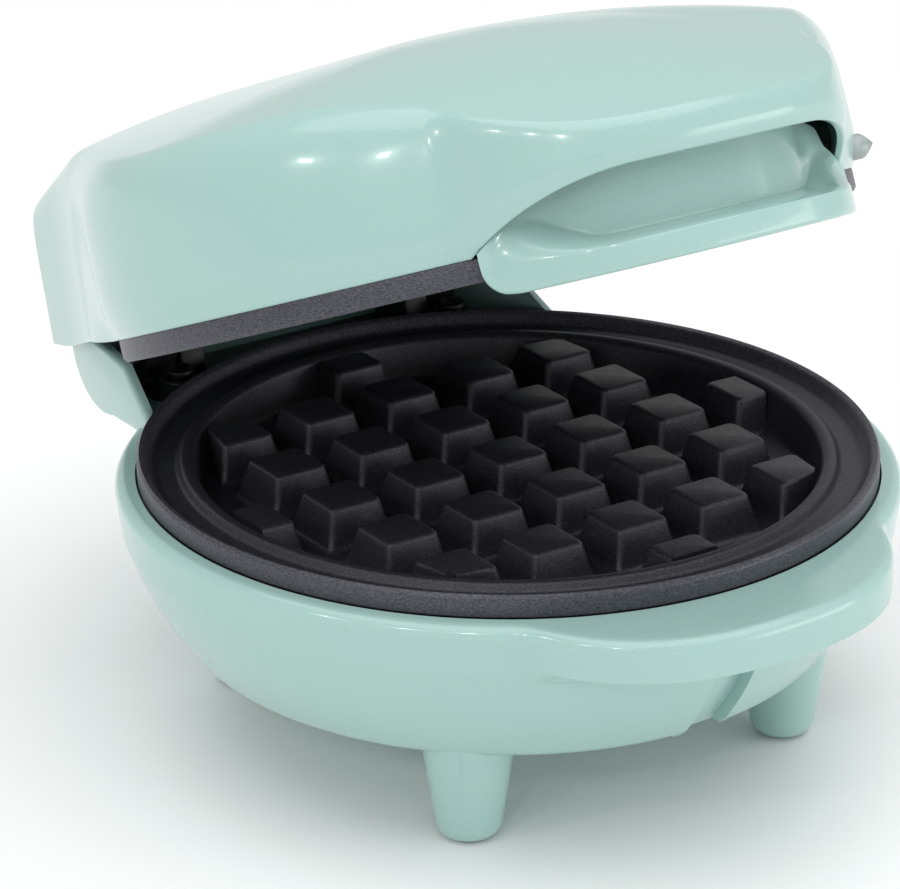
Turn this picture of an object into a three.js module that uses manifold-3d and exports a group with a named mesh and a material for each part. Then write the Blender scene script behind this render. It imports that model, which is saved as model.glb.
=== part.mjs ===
// Compact round waffle maker: a bowl-shaped base on four legs and a domed lid on a rear hinge.
// Working frame, millimetres: origin at the centre of the lower plate's rim, front (handle) towards -Y,
// hinge towards +Y, Z up. The finished group is moved so that its box stands centred on Z = 0.
import * as THREE from "three";
import { mergeVertices } from "three/addons/utils/BufferGeometryUtils.js";
import Module from "manifold-3d";

const wasm = await Module();
wasm.setup();
const { clamp, lerp, smoothstep, degToRad } = THREE.MathUtils;

// ---- Driving dimensions ----
const GAP = 0.3; // between pieces that touch
const WALL = 2.4; // moulded casing thickness
const LID_OPEN = degToRad(23.56); // how far the lid stands open at rest
const HINGE_Y = 90.5;
const HINGE_Z = 2;

const PLATE_RADIUS = 82;
const PLATE_BAND = 5; // visible height of a plate's rim
const CAVITY_RADIUS = 69.3;
const CAVITY_DEPTH = 11;
const PEG_PITCH = 22;
const PEG_BASE = 16;
const PEG_TOP = 12.6;
const PEG_HEIGHT = 9;

const BASE_RADIUS = 86.9;
const FLANGE_Z = -5; // top of the base casing
const LIP_Z = -14; // lower edge of the front lobe's side
const LIP_FALL = 4.5; // the lobe's underside drops this far on its way in to the bowl
const FLOOR_Z = -42; // underside of the bowl
const FLOOR_RADIUS = 71.5;
const OPENING_RADIUS = 82.4; // hole in the base casing for the plate
const LOBE_CENTRE = 48; // front lobe: a superellipse about (0, -LOBE_CENTRE)
const LOBE_HALF_WIDTH = 50.5;
const LOBE_HALF_LENGTH = 52.5;
const LOBE_POWER = 2.4;

const LEG_X = 42.5;
const LEG_Y = 46;
const LEG_FOOT_Z = -64.4;
const PAD_PROUD = 0.4;

const LID_RADIUS = 84.3;
const LID_EDGE_Z = 5.5;
const CROWN_Z = 54;
const RIDGE_Y = 66.8; // the top falls away behind this line
const HANDLE_BOTTOM_Z = -3.6;
const PANEL_INSET = 10; // finger recess under the lid's brow
const BROW_Z = 16.9; // lower edge of the brow over the handle
const REAR_DRAFT = 2; // the rear box is this much wider at its foot
const DRAFT_TOP_Z = 34;

// ---- Materials ----
function material(color, roughness, metalness = 0) {
  return new THREE.MeshStandardMaterial({ color, roughness, metalness });
}
const MINT = material(0xaed0c9, 0.18);
const BLACK = material(0x17181b, 0.5);
const COATING = material(0x3b3c45, 0.55, 0.35);
const STEEL = material(0xb4b6b8, 0.3, 1);
const DARK_STEEL = material(0x2e2f31, 0.45, 1);
const ALUMINIUM = material(0xc4c6c8, 0.35, 1);
const CERAMIC = material(0xe4dfd2, 0.6);
const RUBBER = material(0x2a2b2c, 0.85);
const LENS = material(0xcdd2d2, 0.1);

// ---- Small geometry helpers ----
function smoothMax(a, b, k) {
  const h = Math.max(k - Math.abs(a - b), 0) / k;
  return Math.max(a, b) + (h * h * k) / 4;
}

function smoothMin(a, b, k) {
  return -smoothMax(-a, -b, k);
}

function indexed(positions, triangles) {
  const geometry = new THREE.BufferGeometry();
  geometry.setAttribute("position", new THREE.Float32BufferAttribute(positions, 3));
  geometry.setIndex(triangles);
  return geometry;
}

// Turns the faces outwards if their signed volume says that they point in.
function facingOut(geometry) {
  const p = geometry.attributes.position;
  const index = Array.from(geometry.index.array);
  const [a, b, c] = [new THREE.Vector3(), new THREE.Vector3(), new THREE.Vector3()];
  let volume = 0;
  for (let i = 0; i < index.length; i += 3) {
    [a, b, c].forEach((corner, k) => corner.fromBufferAttribute(p, index[i + k]));
    volume += a.dot(b.cross(c));
  }
  if (volume < 0) geometry.setIndex(index.reverse());
  return geometry;
}

// Sweeps section(bearing) = [[radius, height], ...] round the Z axis, with capped ends unless it is full.
function sweep(section, bearings, full = true) {
  const rows = bearings.map(section);
  const size = rows[0].length;
  const positions = [];
  rows.forEach((row, i) => {
    for (const [radius, height] of row) {
      positions.push(radius * Math.sin(bearings[i]), -radius * Math.cos(bearings[i]), height);
    }
  });
  const triangles = [];
  const last = full ? rows.length : rows.length - 1;
  for (let i = 0; i < last; i++) {
    const j = (i + 1) % rows.length;
    for (let k = 0; k < size; k++) {
      const m = (k + 1) % size;
      if (rows[i][k][0] > 0) triangles.push(i * size + k, j * size + k, j * size + m);
      if (rows[i][m][0] > 0) triangles.push(i * size + k, j * size + m, i * size + m);
    }
  }
  if (!full) {
    for (const [i, along] of [[0, true], [rows.length - 1, false]]) {
      // A hair's breadth out of line, so that no point is dropped as lying on an edge.
      const contour = rows[i].map(([r, z], k) => new THREE.Vector2(r + 1e-4 * Math.sin(7 * k), z));
      const wound = THREE.ShapeUtils.area(contour) > 0;
      for (const face of THREE.ShapeUtils.triangulateShape(contour, [])) {
        const same = THREE.ShapeUtils.area(face.map((k) => contour[k])) > 0 === wound;
        const corners = face.map((k) => i * size + k);
        triangles.push(...(same === along ? corners : corners.reverse()));
      }
    }
  }
  return facingOut(mergeVertices(indexed(positions, triangles), 1e-4));
}

// Only the positions, with shared corners merged and the faces turned out.
function welded(geometry) {
  const bare = new THREE.BufferGeometry().setAttribute("position", geometry.getAttribute("position"));
  bare.setIndex(geometry.index);
  return facingOut(mergeVertices(bare, 1e-4));
}

function turned(points, segments = 24) {
  return welded(new THREE.LatheGeometry(points.map(([r, z]) => new THREE.Vector2(r, z)), segments)
    .rotateX(Math.PI / 2));
}

function rod(radius, from, to, segments = 20) {
  return turned([[0, from], [radius, from], [radius, to], [0, to]], segments);
}

function block(x, y, z) {
  return new THREE.BoxGeometry(x[1] - x[0], y[1] - y[0], z[1] - z[0])
    .translate((x[0] + x[1]) / 2, (y[0] + y[1]) / 2, (z[0] + z[1]) / 2);
}

// A plate whose outline is drawn in the YZ plane, from one X to another.
function sidePlate(points, fromX, toX) {
  const shape = new THREE.Shape(points.map(([y, z]) => new THREE.Vector2(y, z)));
  return new THREE.ExtrudeGeometry(shape, { depth: toX - fromX, bevelEnabled: false })
    .applyMatrix4(new THREE.Matrix4().makeBasis(
      new THREE.Vector3(0, 1, 0), new THREE.Vector3(0, 0, 1), new THREE.Vector3(1, 0, 0)))
    .translate(fromX, 0, 0);
}

function arc(centreY, centreZ, radiusY, radiusZ, fromDegrees, toDegrees, steps) {
  return Array.from({ length: steps + 1 }, (_, i) => {
    const angle = degToRad(lerp(fromDegrees, toDegrees, i / steps));
    return [centreY + radiusY * Math.cos(angle), centreZ + radiusZ * Math.sin(angle)];
  });
}

function toSolid(geometry) {
  const merged = welded(geometry);
  return new wasm.Manifold(new wasm.Mesh({
    numProp: 3,
    vertProperties: Float32Array.from(merged.attributes.position.array),
    triVerts: Uint32Array.from(merged.index.array),
  }));
}

function fromSolid(solid) {
  const { vertProperties, triVerts } = solid.getMesh();
  return indexed(vertProperties, Array.from(triVerts));
}

function combine(operation, first, others) {
  return fromSolid(others.reduce((solid, other) => solid[operation](toSolid(other)), toSolid(first)));
}

const join = (first, ...others) => combine("add", first, others);
const cut = (first, ...others) => combine("subtract", first, others);
const common = (first, ...others) => combine("intersect", first, others);

function add(parent, name, geometry, material) {
  const mesh = new THREE.Mesh(geometry, material);
  mesh.name = name;
  parent.add(mesh);
  return mesh;
}

// Bearings round the plan: 0 is the front, positive towards +X, with extra ones at the lobe's corners.
function bearingsRound(step = 6) {
  const degrees = new Set([-37, -33, -32, 32, 33, 37]);
  for (let d = -180; d < 180; d += step) degrees.add(d);
  return [...degrees].sort((a, b) => a - b).map(degToRad);
}

// ---- Plan outlines: radius from the plate's centre at a bearing ----
function lobeReach(bearing, inset = 0) {
  const outside = (r) => {
    const x = Math.abs(r * Math.sin(bearing)) / (LOBE_HALF_WIDTH - inset);
    const y = Math.abs(LOBE_CENTRE - r * Math.cos(bearing)) / (LOBE_HALF_LENGTH - inset);
    return x ** LOBE_POWER + y ** LOBE_POWER > 1;
  };
  let low = Math.max(0, LOBE_CENTRE * Math.cos(bearing));
  let high = 2 * LOBE_HALF_LENGTH;
  if (outside(low)) return 0;
  for (let i = 0; i < 30; i++) {
    const middle = (low + high) / 2;
    if (outside(middle)) high = middle;
    else low = middle;
  }
  return low;
}

function basePlan(bearing) {
  return smoothMax(BASE_RADIUS, lobeReach(bearing), 2.5);
}

// Rear box of the lid: each line is a plan normal (x, y) and its distance from the centre.
const REAR_LINES = [[0, 1, 111], [0.977, 0.2155, 73.75], [0.917, 0.399, LID_RADIUS]];
const REAR_SPREAD = degToRad(66.5);

function lidPlan(bearing) {
  const fromRear = Math.PI - Math.abs(bearing);
  let body = LID_RADIUS;
  if (fromRear < REAR_SPREAD) {
    const reaches = REAR_LINES.map(([x, y, d]) => {
      const facing = x * Math.sin(fromRear) + y * Math.cos(fromRear);
      return facing > 0.2 ? d / facing : 500;
    });
    body = smoothMin(reaches[0], smoothMax(reaches[1], reaches[2], 4), 1.8);
  }
  return smoothMax(body, lobeReach(bearing), 2.5);
}

// ---- Base ----
// Round bowl, as a radius at a height.
function bowlRadius(z) {
  const depth = clamp((FLANGE_Z - z) / (FLANGE_Z - FLOOR_Z), 0, 1);
  return lerp(BASE_RADIUS, FLOOR_RADIUS, depth ** 2);
}

// The bowl with its front lobe, a shelf whose side ends at LIP_Z.
function baseWall(bearing, z) {
  const top = basePlan(bearing);
  const share = smoothstep((top - BASE_RADIUS) / (LOBE_CENTRE + LOBE_HALF_LENGTH - BASE_RADIUS), 0, 0.35);
  const lip = Math.max(z, LIP_Z);
  const side = top + (bowlRadius(lip) - BASE_RADIUS) * (1 - share);
  return lerp(side, bowlRadius(z), clamp((LIP_Z - z) / LIP_FALL, 0, 1));
}

const COVER_RADIUS = 44.5; // recess for the bottom cover
const SERVICE_RADIUS = 38; // opening above it
const FLOOR_TOP_Z = FLOOR_Z + WALL;

function bowlSection(bearing) {
  const rim = basePlan(bearing);
  const heights = [LIP_Z, LIP_Z - LIP_FALL, -24, -31, -37];
  const inner = (z) => [baseWall(bearing, z) - WALL - 0.4, z];
  return [
    [OPENING_RADIUS, FLANGE_Z], [rim - 2, FLANGE_Z - 0.2], [rim - 0.6, FLANGE_Z - 0.9], [rim, FLANGE_Z - 2.4],
    ...heights.map((z) => [baseWall(bearing, z), z]),
    [baseWall(bearing, FLOOR_Z + 0.8), FLOOR_Z + 0.8], [FLOOR_RADIUS - 1, FLOOR_Z],
    [COVER_RADIUS, FLOOR_Z], [COVER_RADIUS, FLOOR_Z + 1.8],
    [SERVICE_RADIUS, FLOOR_Z + 1.8], [SERVICE_RADIUS, FLOOR_TOP_Z + 1.8],
    [COVER_RADIUS + 2, FLOOR_TOP_Z + 1.8], [COVER_RADIUS + 3, FLOOR_TOP_Z],
    inner(FLOOR_TOP_Z), inner(-31), [bowlRadius(LIP_Z - LIP_FALL) - WALL - 0.4, LIP_Z - 3],
    [rim - WALL, LIP_Z + 2], [rim - WALL, FLANGE_Z - WALL],
    [OPENING_RADIUS, FLANGE_Z - WALL],
  ];
}

function legSolid(inset, topZ, footZ) {
  const slope = 3 / 21; // the leg's radius grows by this for each millimetre of height
  const foot = 6.9 - inset;
  const top = foot + slope * (topZ - LEG_FOOT_Z);
  return turned([[0, footZ], [foot - 2.9, footZ], [foot - 1.2, footZ + 0.6], [foot - 0.1, footZ + 1.9],
    [foot + 4 * slope, footZ + 4], [top, topZ], [0, topZ]], 16);
}

function footPad() {
  return turned([[0, LEG_FOOT_Z - PAD_PROUD], [2.7, LEG_FOOT_Z - PAD_PROUD], [3, LEG_FOOT_Z],
    [3, LEG_FOOT_Z + 1.5], [0, LEG_FOOT_Z + 1.5]], 12);
}

const LEG_PLACES = [
  ["front_left", -LEG_X, -LEG_Y], ["front_right", LEG_X, -LEG_Y],
  ["rear_left", -LEG_X, LEG_Y], ["rear_right", LEG_X, LEG_Y],
];

// The riser's underside and rear follow an ellipse in side view.
const RISER = { y: 92, z: 2, halfLength: 17.5, halfHeight: 13.5, topZ: 6 };

// Side outline of the hinge riser, shrunk by an inset all round.
function riserOutline(inset, topZ) {
  const rear = RISER.y + RISER.halfLength - inset;
  return [
    [52 + inset, FLANGE_Z - 1.5], [69.6, FLANGE_Z - 2.9 + inset],
    ...arc(RISER.y, RISER.z, RISER.halfLength - inset, RISER.halfHeight - inset, -118, 0, 9),
    [rear, topZ - 1], [HINGE_Y + 5, topZ], [74, topZ],
  ];
}

// Plan of the riser: its cheeks close in slightly towards the rear.
function riserPlan(inset) {
  const front = 58 - inset;
  const rear = 49 - inset;
  const shape = new THREE.Shape([[-front, 56], [front, 56], [rear, 110], [-rear, 110]]
    .map(([x, y]) => new THREE.Vector2(x, y)));
  return new THREE.ExtrudeGeometry(shape, { depth: 60, bevelEnabled: false }).translate(0, 0, -30);
}

function riser(inset, topZ) {
  return common(sidePlate(riserOutline(inset, topZ), -60, 60), riserPlan(inset));
}

const GLAND = { x: 25, z: -27, bore: 3.5, body: 5.6 };
const NOTCH = { halfWidth: 5.2, depth: 3.3, topZ: LIP_Z - LIP_FALL - 0.4 };
const SCREW_CIRCLE = 41; // bottom cover screws

function baseShell() {
  const bowl = sweep(bowlSection, bearingsRound());
  const atLegs = (make) => LEG_PLACES.map(([, x, y]) => make().translate(x, y, 0));
  const legs = atLegs(() => legSolid(0, FLOOR_TOP_Z - 0.4, LEG_FOOT_Z));
  const hollows = atLegs(() => legSolid(2.2, FLOOR_TOP_Z + 3, LEG_FOOT_Z + 5));
  const recesses = atLegs(() => rod(3.3, LEG_FOOT_Z - 2, LEG_FOOT_Z + 1.8, 12));
  const plateWell = rod(OPENING_RADIUS, FLOOR_TOP_Z + 9, 20, 48);
  const core = sweep((bearing) => [[0, FLOOR_TOP_Z], [baseWall(bearing, FLOOR_TOP_Z) - 2.8, FLOOR_TOP_Z],
    ...[-31, LIP_Z - LIP_FALL].map((z) => [bowlRadius(z) - 2.8, z]), [basePlan(bearing) - WALL, LIP_Z],
    [basePlan(bearing) - WALL, FLANGE_Z - WALL], [0, FLANGE_Z - WALL]], bearingsRound());
  const body = cut(join(bowl, ...legs), ...hollows, ...recesses);
  const withRiser = join(body, cut(riser(0, RISER.topZ), core, plateWell));
  const rearSlot = block([-44, 44], [96, 120], [HINGE_Z, 30]);
  const glandHole = rod(GLAND.body + GAP, -20, 20).rotateX(Math.PI / 2).translate(GLAND.x, 80, GLAND.z);
  const roomX = DECK.halfWidth + GAP;
  const deckRoom = block([-roomX, roomX], [60, HINGE_Y], [DECK.bottomZ - GAP, 20]);
  const shell = cut(withRiser, riser(WALL, 30), deckRoom, rearSlot, glandHole, ...coverScrewHoles());
  return cut(join(shell, notchBody(NOTCH.halfWidth + 2, 0.5, NOTCH.depth + WALL)),
    notchBody(NOTCH.halfWidth, -20, NOTCH.depth));
}

// A slice of the bowl's wall at the front, between two depths below its surface.
function notchBody(halfWidth, outerDepth, innerDepth) {
  const cutting = outerDepth < 0;
  const levels = [cutting ? FLOOR_Z - 3 : FLOOR_Z, -37, -31, -24, cutting ? NOTCH.topZ : NOTCH.topZ + WALL];
  const section = [...levels.map((z) => [bowlRadius(z) - outerDepth, z]),
    ...levels.reverse().map((z) => [bowlRadius(z) - innerDepth, z])];
  const slice = sweep(() => section, [-12, -6, 0, 6, 12].map(degToRad), false);
  return common(slice, block([-halfWidth, halfWidth], [-130, 0], [-60, 0]));
}

function coverScrewPlaces() {
  return [90, 210, 330].map(degToRad).map((a) => [SCREW_CIRCLE * Math.cos(a), SCREW_CIRCLE * Math.sin(a)]);
}

function coverScrewHoles() {
  return coverScrewPlaces().map(([x, y]) => rod(1.9, FLOOR_Z - 1, FLOOR_TOP_Z + 3, 12).translate(x, y, 0));
}

// A flanged sleeve through the bowl's rear wall.
function cableGland() {
  const { bore, body, x, z } = GLAND;
  return turned([[bore, -88], [body, -88], [8, -86.6], [8, -82.6], [body, -82.6], [body, -68], [bore, -68],
    [bore, -88]], 24).rotateX(Math.PI / 2).translate(x, 0, z);
}

function bottomCover() {
  const disc = turned([[0, FLOOR_Z], [COVER_RADIUS - 1, FLOOR_Z], [COVER_RADIUS - 0.4, FLOOR_Z + 0.6],
    [COVER_RADIUS - 0.4, FLOOR_Z + 1.5], [36, FLOOR_Z + 1.5], [34, FLOOR_Z + 3.6], [0, FLOOR_Z + 3.6]], 36);
  const dish = rod(31, FLOOR_Z - 1, FLOOR_Z + 1.8, 36);
  return cut(disc, dish, ...coverScrewHoles());
}

// A pan-head screw pointing up +Z, its head's underside at the origin.
function screw(headRadius, headHeight, shankRadius, length) {
  const driven = turned([[0, -headHeight], [headRadius - 0.8, -headHeight], [headRadius, -headHeight + 0.9],
    [headRadius, 0], [shankRadius, 0], [shankRadius, length], [0, length]], 12);
  const slot = headRadius / 2;
  return cut(driven, block([-slot, slot], [-0.4, 0.4], [-headHeight - 1, -headHeight + 0.9]));
}

// ---- Cooking plates: drawn as the lower one; the upper one is its mirror image ----
const PLATE_BACK_Z = -14; // the casting's underside

function wafflePlate() {
  const casting = turned([
    [0, -CAVITY_DEPTH], [CAVITY_RADIUS - 2, -CAVITY_DEPTH], [CAVITY_RADIUS, -2.2], [70.4, -1.5], [72.4, -1.5],
    [73.4, -3.4], [78.4, -3.4], [80.3, -0.5], [80.9, 0], [81.6, 0], [PLATE_RADIUS, -0.5],
    [PLATE_RADIUS, -PLATE_BAND],
    [79, -PLATE_BAND - 0.2], [78.4, -7.4], [73.5, -7.4], [72, PLATE_BACK_Z], [0, PLATE_BACK_Z],
  ], 48);
  const reach = rod(CAVITY_RADIUS - 1.6, -CAVITY_DEPTH - 1, 0, 48);
  const pegs = [];
  for (let i = -3; i <= 3; i++) {
    for (let j = -3; j <= 3; j++) {
      if (Math.hypot(i, j) * PEG_PITCH < 67) pegs.push(peg().translate(i * PEG_PITCH, j * PEG_PITCH, 0));
    }
  }
  const grid = pegs.map((one) => common(one, reach));
  const screwHole = rod(2.4, PLATE_BACK_Z - 1, PLATE_BACK_Z + 6, 12);
  return cut(join(casting, ...grid), screwHole);
}

function peg() {
  const foot = -CAVITY_DEPTH - 0.5;
  return new THREE.CylinderGeometry(PEG_TOP / Math.SQRT2, PEG_BASE / Math.SQRT2, PEG_HEIGHT + 0.5, 4)
    .rotateX(Math.PI / 2).rotateZ(Math.PI / 4).translate(0, 0, foot + (PEG_HEIGHT + 0.5) / 2);
}

// Tubular element: most of a ring under the plate, with both ends turned out towards the rear.
const ELEMENT_RADIUS = 50;
const ELEMENT_TUBE = 3.2;
const ELEMENT_Z = PLATE_BACK_Z - GAP - ELEMENT_TUBE;

function heatingElement() {
  const points = [new THREE.Vector3(-9, 76, ELEMENT_Z), new THREE.Vector3(-9, 64, ELEMENT_Z)];
  const steps = 16;
  for (let i = 0; i <= steps; i++) {
    const angle = degToRad(lerp(107, 433, i / steps));
    points.push(new THREE.Vector3(Math.cos(angle), Math.sin(angle), 0).multiplyScalar(ELEMENT_RADIUS)
      .setZ(ELEMENT_Z));
  }
  points.push(new THREE.Vector3(9, 64, ELEMENT_Z), new THREE.Vector3(9, 76, ELEMENT_Z));
  const section = new THREE.Shape(Array.from({ length: 6 }, (_, i) => new THREE.Vector2(
    ELEMENT_TUBE * Math.cos((i * Math.PI) / 3), ELEMENT_TUBE * Math.sin((i * Math.PI) / 3))));
  return new THREE.ExtrudeGeometry(section, {
    steps: 44, extrudePath: new THREE.CatmullRomCurve3(points, false, "centripetal"), bevelEnabled: false,
  });
}

const REFLECTOR_Z = ELEMENT_Z - ELEMENT_TUBE - 2.2; // underside of the reflector's floor

function reflector() {
  const dish = turned([[0, REFLECTOR_Z], [57, REFLECTOR_Z], [61, -15.6], [63.6, -15.6], [63.6, -14.6],
    [60.4, -14.6], [56.4, REFLECTOR_Z + 1], [0, REFLECTOR_Z + 1]], 36);
  const terminalSlot = block([-15, 15], [50, 80], [REFLECTOR_Z + 1.6, -10]);
  return cut(dish, terminalSlot, rod(2.6, REFLECTOR_Z - 1, REFLECTOR_Z + 2, 12),
    rod(5, REFLECTOR_Z - 1, REFLECTOR_Z + 2, 16).translate(0, 26, 0));
}

function thermostat() {
  return turned([[0, PLATE_BACK_Z - GAP], [8, PLATE_BACK_Z - GAP], [8, REFLECTOR_Z + 2.6],
    [4.4, REFLECTOR_Z + 2.6], [4.4, REFLECTOR_Z - 3], [0, REFLECTOR_Z - 3]], 20).translate(0, 26, 0);
}

function elementTerminal(side) {
  return block([-2.6, 2.6], [76.4, 80.2], [ELEMENT_Z - 0.4, ELEMENT_Z + 0.4]).translate(side * 9, 0, 0);
}

// ---- Hinge ----
const ARM = [35, 43]; // X span of each lid arm
const EAR = [28, 34.4]; // X span of each base ear
const KNUCKLE = 7;
const PIN_RADIUS = 3;

function mirrored(side, [from, to]) {
  return side > 0 ? [from, to] : [-to, -from];
}

function pinBore(fromX, toX) {
  return rod(PIN_RADIUS + GAP, fromX, toX, 20).rotateY(Math.PI / 2).translate(0, HINGE_Y, HINGE_Z);
}

function hingePin(side) {
  return turned([[0, 28.6], [PIN_RADIUS, 28.6], [PIN_RADIUS, 43.6], [4.4, 43.6], [4.4, 45.2], [0, 45.2]], 20)
    .rotateY((side * Math.PI) / 2).translate(0, HINGE_Y, HINGE_Z);
}

const FRAME_SCREW_X = 38;
const FRAME_SCREW_Y = 78.2;
const BOSS_TOP_Z = -1.6;
const DECK = { halfWidth: 43, rearY: 96.6, bottomZ: -7.6, topZ: -5.8 };

function baseFrame() {
  const ring = turned([[75, -9.2], [82.1, -9.2], [82.1, -5.4], [79.4, -5.4], [79.4, -7.8],
    [75, -7.8], [75, -9.2]], 60);
  const sheet = block([-DECK.halfWidth, DECK.halfWidth], [60, DECK.rearY], [DECK.bottomZ, DECK.topZ]);
  const deck = cut(sheet, rod(80, -20, 5, 60));
  const earOutline = [[HINGE_Y - KNUCKLE - 2, -7], ...arc(HINGE_Y, HINGE_Z, KNUCKLE, KNUCKLE, 180, 0, 10),
    [HINGE_Y + 6, -7]];
  const ears = [-1, 1].map((side) => sidePlate(earOutline, ...mirrored(side, EAR)));
  const atScrews = (make) => [-1, 1].map((side) => make().translate(side * FRAME_SCREW_X, FRAME_SCREW_Y, 0));
  const bosses = atScrews(() => rod(4.6, -7, BOSS_TOP_Z, 16));
  const holes = atScrews(() => rod(2, -12, 0, 12));
  return cut(join(ring, deck, ...ears, ...bosses), pinBore(-50, 50), ...holes);
}

function lidArm(side) {
  return sidePlate([
    [62, 7], [79, 7], [HINGE_Y - 6.2, HINGE_Z - 3.2],
    ...arc(HINGE_Y, HINGE_Z, KNUCKLE, KNUCKLE, -130, 62, 12),
    [84, 11.5], [79, 13.5], [62, 12],
  ], ...mirrored(side, ARM));
}

function lidFrame() {
  const ring = turned([[75, 8.1], [80.9, 8.1], [80.9, 9.4], [75, 9.4], [75, 8.1]], 60);
  const trim = rod(80, 0, 30, 60);
  const arms = [-1, 1].map((side) => cut(lidArm(side), trim));
  return cut(join(ring, ...arms), pinBore(-50, 50));
}

// ---- Lid ----
function lidShoulder(bearing) {
  const turn = Math.abs(bearing);
  const front = lerp(1.6, 7, smoothstep(turn, degToRad(22), degToRad(52)));
  return lerp(front, 3.4, smoothstep(turn, degToRad(132), degToRad(158)));
}

function lidTop(radius, bearing) {
  const x = radius * Math.sin(bearing);
  const y = -radius * Math.cos(bearing);
  const dome = CROWN_Z + 0.02 * Math.max(y, 0) - 0.002 * (x * x + Math.min(y, 0) ** 2);
  const behind = Math.max(y - RIDGE_Y, 0);
  const curve = 0.002 - 0.000023 * behind;
  const rearSlope = 49.5 - 0.232 * (y - RIDGE_Y) + curve * (54 * 54 - x * x);
  const dip = 8.8 * (1 - smoothstep(Math.abs(bearing), degToRad(12), degToRad(58)));
  const creaseRadius = lidPlan(bearing) - lidShoulder(bearing);
  return smoothMin(dome, rearSlope, 1.5) - dip * (radius / creaseRadius) ** 2;
}

function browHeight(bearing) {
  const reach = lidPlan(bearing);
  const around = Math.atan2(Math.abs(reach * Math.sin(bearing)), reach * Math.cos(bearing) - 43);
  return BROW_Z - 0.0078 * Math.max(0, THREE.MathUtils.radToDeg(around) - 22) ** 2;
}

function lidEdge(bearing) {
  const turn = Math.abs(bearing);
  const body = LID_EDGE_Z + smoothstep(turn, degToRad(118), degToRad(142))
    + 1.5 * smoothstep(turn, degToRad(150), degToRad(157));
  return turn < degToRad(60) ? Math.max(body, browHeight(bearing)) : body;
}

// The side and the brow tuck in towards their lower edge, less high and less deep on the brow.
function lidTuck(bearing) {
  const share = clamp((lidEdge(bearing) - LID_EDGE_Z) / (BROW_Z - LID_EDGE_Z), 0, 1);
  return { height: lerp(7.5, 3.4, share), depth: lerp(2, 1.2, share) };
}

// How far the wall stands out from the plan: the rear box leans out towards its foot, the rest tucks in.
function lidLean(bearing, z) {
  const rear = smoothstep(Math.abs(bearing), degToRad(114), degToRad(135));
  const draft = REAR_DRAFT * clamp((DRAFT_TOP_Z - z) / (DRAFT_TOP_Z - LID_EDGE_Z), 0, 1);
  const { height, depth } = lidTuck(bearing);
  const tuck = depth * clamp((lidEdge(bearing) + height - z) / height, 0, 1) ** 1.5;
  return lerp(-tuck, draft, rear);
}

function lidWall(bearing, z) {
  const shoulder = lidShoulder(bearing);
  const crease = lidTop(lidPlan(bearing) - shoulder, bearing);
  return lidPlan(bearing) + lidLean(bearing, z) - shoulder * Math.exp((z - crease) / (0.7 * shoulder));
}

function lidSection(bearing) {
  const shoulder = lidShoulder(bearing);
  const creaseRadius = lidPlan(bearing) - shoulder;
  const crease = lidTop(creaseRadius, bearing);
  const edge = lidEdge(bearing);
  const { height } = lidTuck(bearing);
  const top = [0, 0.35, 0.6, 0.8, 0.92, 1].map((t) => [t * creaseRadius, lidTop(t * creaseRadius, bearing)]);
  const low = Math.min(DRAFT_TOP_Z, crease - 1.7 * shoulder - 0.5);
  const levels = [...[0.18, 0.45, 0.9, 1.7].map((t) => crease - t * shoulder), low,
    edge + height, edge + 0.6 * height, edge + 0.25 * height, edge];
  const inner = (t) => [t * (creaseRadius - WALL), lidTop(t * (creaseRadius - WALL), bearing) - WALL];
  return [...top, ...levels.map((z) => [lidWall(bearing, z), z]),
    [lidWall(bearing, edge) - 2, edge], [lidWall(bearing, edge + height) - 2, edge + height],
    [lidWall(bearing, low) - WALL, low], [lidWall(bearing, low) - WALL, crease - 1.7 * shoulder - 1],
    inner(1), inner(0.8), inner(0.5), [0, CROWN_Z - WALL]];
}

// The handle piece: a panel set back under the brow, flaring out to a lip at its foot.
const HANDLE_SPREAD = degToRad(33.4);
const HANDLE_INNER = 83.2;
const HANDLE_CORNER = { x: 46.9, width: 5.5, height: 6 }; // rounding of the lower end corners

function handleSection(bearing) {
  const turn = Math.abs(bearing);
  const inset = 0.4 + 3 * smoothstep(turn, degToRad(13), degToRad(29));
  const outline = Math.max(lidPlan(bearing) - inset, HANDLE_INNER + 2);
  const panel = smoothMax(HANDLE_INNER + 1.8, lobeReach(bearing, PANEL_INSET), 2);
  const setBack = Math.max(0, outline - panel);
  const edge = lidEdge(bearing);
  const intoCorner = clamp(1 - (HANDLE_CORNER.x - outline * Math.sin(turn)) / HANDLE_CORNER.width, 0, 1);
  const bottom = HANDLE_BOTTOM_Z + HANDLE_CORNER.height * (1 - Math.sqrt(1 - intoCorner ** 2));
  const foot = Math.max(-0.4, bottom + 1.6);
  const blendTop = lerp(4, edge, smoothstep(turn, degToRad(16), degToRad(30)));
  const face = (z) => outline - setBack * smoothstep(z, 1.6, blendTop);
  const top = edge + lerp(-0.4, 2.6, smoothstep(setBack, 3, 5));
  const heights = [0, 0.12, 0.17, 0.22, 0.27, 0.34, 0.43, 0.54, 0.67, 0.82, 1]
    .map((t) => lerp(foot, edge - 0.7, t));
  const back = (radius) => Math.max(radius - 2, HANDLE_INNER + 0.3);
  return [
    [outline - 1.2, bottom], [outline - 0.3, bottom + 0.8],
    ...heights.map((z) => [face(z), z]), [face(top), top],
    [back(face(top)), top], [back(face(top)), Math.max(4.8, foot + 0.4)], [back(outline), foot + 0.2],
    [HANDLE_INNER, foot], [HANDLE_INNER, bottom],
  ];
}

function lidHandle() {
  const steps = 48;
  const bearings = Array.from({ length: steps + 1 }, (_, i) => HANDLE_SPREAD * ((2 * i) / steps - 1));
  return sweep(handleSection, bearings, false);
}

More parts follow.
